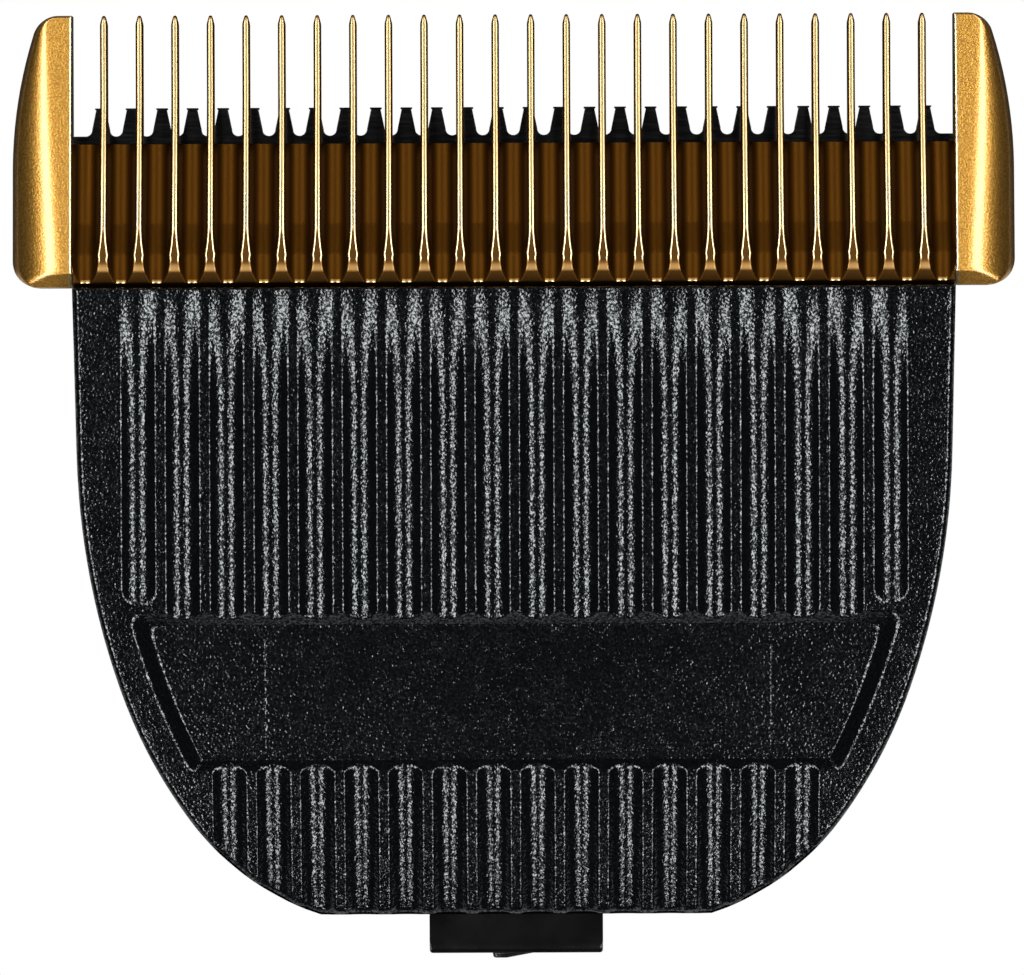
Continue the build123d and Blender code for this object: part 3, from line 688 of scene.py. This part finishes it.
def springPath():
    s = spring
    far = sqrt(s["reach"] ** 2 + s["press"] ** 2)
    start = atan2(s["press"], s["reach"]) - acos(s["coil"] / far)
    turns = np.linspace(0, 2 * pi * s["turns"], int(s["turns"] * s["steps"]) + 1)
    coil = [Vector((s["coil"] * cos(a), s["coil"] * sin(a), s["pitch"] * a / (2 * pi))) for a in turns]
    first, last = (coil[1] - coil[0]).normalized(), (coil[-1] - coil[-2]).normalized()
    leg = sqrt(far ** 2 - s["coil"] ** 2) + s["past"]
    path = [coil[0] - first * leg * v for v in (1, 0.75, 0.5, 0.25, 0.1, 0.03)] + coil
    path += [coil[-1] + last * s["short"] * v for v in (0.05, 0.2, 0.5, 0.8, 1)]
    return [Vector((s["x"] - p.z, s["y"] + p.x * cos(start) + p.y * sin(start),
                    s["z"] + p.x * sin(start) - p.y * cos(start))) for p in path]


def springPiece(name, side):
    s = spring
    path = springPath()
    across = Vector((1, 0, 0))
    rows = []
    for i, p in enumerate(path):
        along = (path[min(i + 1, len(path) - 1)] - path[max(i - 1, 0)]).normalized()
        across = (across - along * across.dot(along)).normalized()
        up = along.cross(across)
        angles = np.linspace(0, 2 * pi, s["sides"] + 1)
        ring = [p + (across * cos(a) + up * sin(a)) * s["wire"] for a in angles]
        rows.append([(side * v.x, v.y, v.z) for v in ring])
    bm = bmesh.new()
    made = addGrid(bm, rows)
    ends = [bm.faces.new(made[0][:-1]), bm.faces.new(made[-1][:-1])]
    bmesh.ops.remove_doubles(bm, verts=bm.verts, dist=mergeGap)
    rims = [e for f in ends for e in f.edges]
    roundEdges(bm, rims, s["endRound"], 2)
    piece = addPiece(name + "_wire", bm, None, steel, name)
    ends = [(side * s["x"] * mm, (seamY + y) * mm, s["z"] * mm) for y in s["held"]]
    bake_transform(piece)


springPiece("left_spring", -1)
springPiece("right_spring", 1)

# pale floor, a dark card on it and two long strip lights; these lengths are metres
stage = {
    "floorHalf": 3.0, "floorDrop": 0.0001, "mirrored": 0.6, "dull": 0.08, "dim": 0.022,
    "cardHalf": 0.15, "cardNear": -0.002, "cardFar": 0.06, "cardDrop": 0.00005,
    "stripX": 0.132, "stripY": -0.04, "stripZ": 0.282, "stripSize": (0.075, 0.92), "watts": 1.85,
}


def addStage(name, bm, material):
    mesh = bpy.data.meshes.new(name)
    bm.to_mesh(mesh)
    bm.free()
    mesh.materials.append(material)
    thing = bpy.data.objects.new(name, mesh)
    bpy.context.scene.collection.objects.link(thing)
    return thing


def floorMaterial():
    # white to the camera, less so in reflections, dull to other light and clear from below
    material = bpy.data.materials.new("paleFloor")
    material.use_nodes = True
    material.node_tree.nodes.clear()
    grey = stage["dull"]
    path = addNode(material, "ShaderNodeLightPath")
    lit = addNode(material, "ShaderNodeEmission", {"Color": (1, 1, 1, 1), "Strength": 1.0})
    dull = addNode(material, "ShaderNodeBsdfDiffuse", {"Color": (grey, grey, grey, 1)})
    clear = addNode(material, "ShaderNodeBsdfTransparent")
    seen = addNode(material, "ShaderNodeMath", {1: stage["mirrored"]}, operation="MULTIPLY_ADD")
    side = addNode(material, "ShaderNodeNewGeometry")
    above = addNode(material, "ShaderNodeMixShader")
    both = addNode(material, "ShaderNodeMixShader")
    out = addNode(material, "ShaderNodeOutputMaterial")
    link(material, path, "Is Glossy Ray", seen, 0)
    link(material, path, "Is Camera Ray", seen, 2)
    link(material, seen, "Value", above, "Fac")
    link(material, dull, "BSDF", above, 1)
    link(material, lit, "Emission", above, 2)
    link(material, side, "Backfacing", both, "Fac")
    link(material, above, "Shader", both, 1)
    link(material, clear, "BSDF", both, 2)
    link(material, both, "Shader", out, "Surface")
    return material


def addFloor():
    bm = bmesh.new()
    bmesh.ops.create_grid(bm, x_segments=4, y_segments=4, size=stage["floorHalf"])
    addStage("floor", bm, floorMaterial()).location.z = -stage["floorDrop"]


def addCard():
    # under the comb and out of the camera's sight, for dark edges on the gold
    s = stage
    length = s["cardFar"] - s["cardNear"]
    middle = (s["cardFar"] + s["cardNear"]) / 2 + seamY * mm
    bm = bmesh.new()
    bmesh.ops.create_grid(bm, x_segments=1, y_segments=1, size=0.5)
    bmesh.ops.transform(bm, matrix=Matrix.Diagonal((2 * s["cardHalf"], length, 1, 1)), verts=bm.verts)
    bmesh.ops.translate(bm, vec=(0, middle, -s["cardDrop"]), verts=bm.verts)
    card = addStage("flag", bm, newMaterial("darkCard", (0.01, 0.01, 0.01), 0, 0.9))
    card.visible_camera = False


def addStrip(name, side):
    s = stage
    data = bpy.data.lights.new(name, "AREA")
    data.shape = "RECTANGLE"
    data.size, data.size_y = s["stripSize"]
    data.energy = s["watts"]
    lamp = bpy.data.objects.new(name, data)
    lamp.location = (side * s["stripX"], s["stripY"], s["stripZ"])
    lamp.rotation_euler = (0, side * atan2(s["stripX"], s["stripZ"]), 0)
    lamp.visible_camera = False
    bpy.context.scene.collection.objects.link(lamp)


def addWorld():
    world = bpy.data.worlds.new("studio")
    bpy.context.scene.world = world
    world.use_nodes = True
    world.node_tree.nodes.clear()
    grey = stage["dim"]
    path = addNode(world, "ShaderNodeLightPath")
    white = addNode(world, "ShaderNodeBackground", {"Color": (1, 1, 1, 1)})
    dim = addNode(world, "ShaderNodeBackground", {"Color": (grey, grey, grey, 1)})
    mix = addNode(world, "ShaderNodeMixShader")
    out = addNode(world, "ShaderNodeOutputWorld")
    link(world, path, "Is Camera Ray", mix, "Fac")
    link(world, dim, "Background", mix, 1)
    link(world, white, "Background", mix, 2)
    link(world, mix, "Shader", out, "Surface")


addFloor()
addCard()
addWorld()
addStrip("leftStrip", -1)
addStrip("rightStrip", 1)

# straight above, at the distance in millimetres that the photo's perspective gives
view = {
    "distance": 400.0, "level": 12.0, "across": 46.23, "shift": -0.12, "rise": 0.119, "roll": -0.22,
    "sensor": 36.0,
}
cameraData = bpy.data.cameras.new("camera")
cameraData.sensor_width = view["sensor"]
cameraData.lens = view["sensor"] * view["distance"] / view["across"]
camera = bpy.data.objects.new("camera", cameraData)
camera.location = (view["shift"] * mm, view["rise"] * mm, (view["distance"] + view["level"]) * mm)
camera.rotation_euler = (0, 0, radians(view["roll"]))
bpy.context.scene.collection.objects.link(camera)
bpy.context.scene.camera = camera
bpy.context.scene.view_settings.view_transform = "Standard"
print("camera and light set")
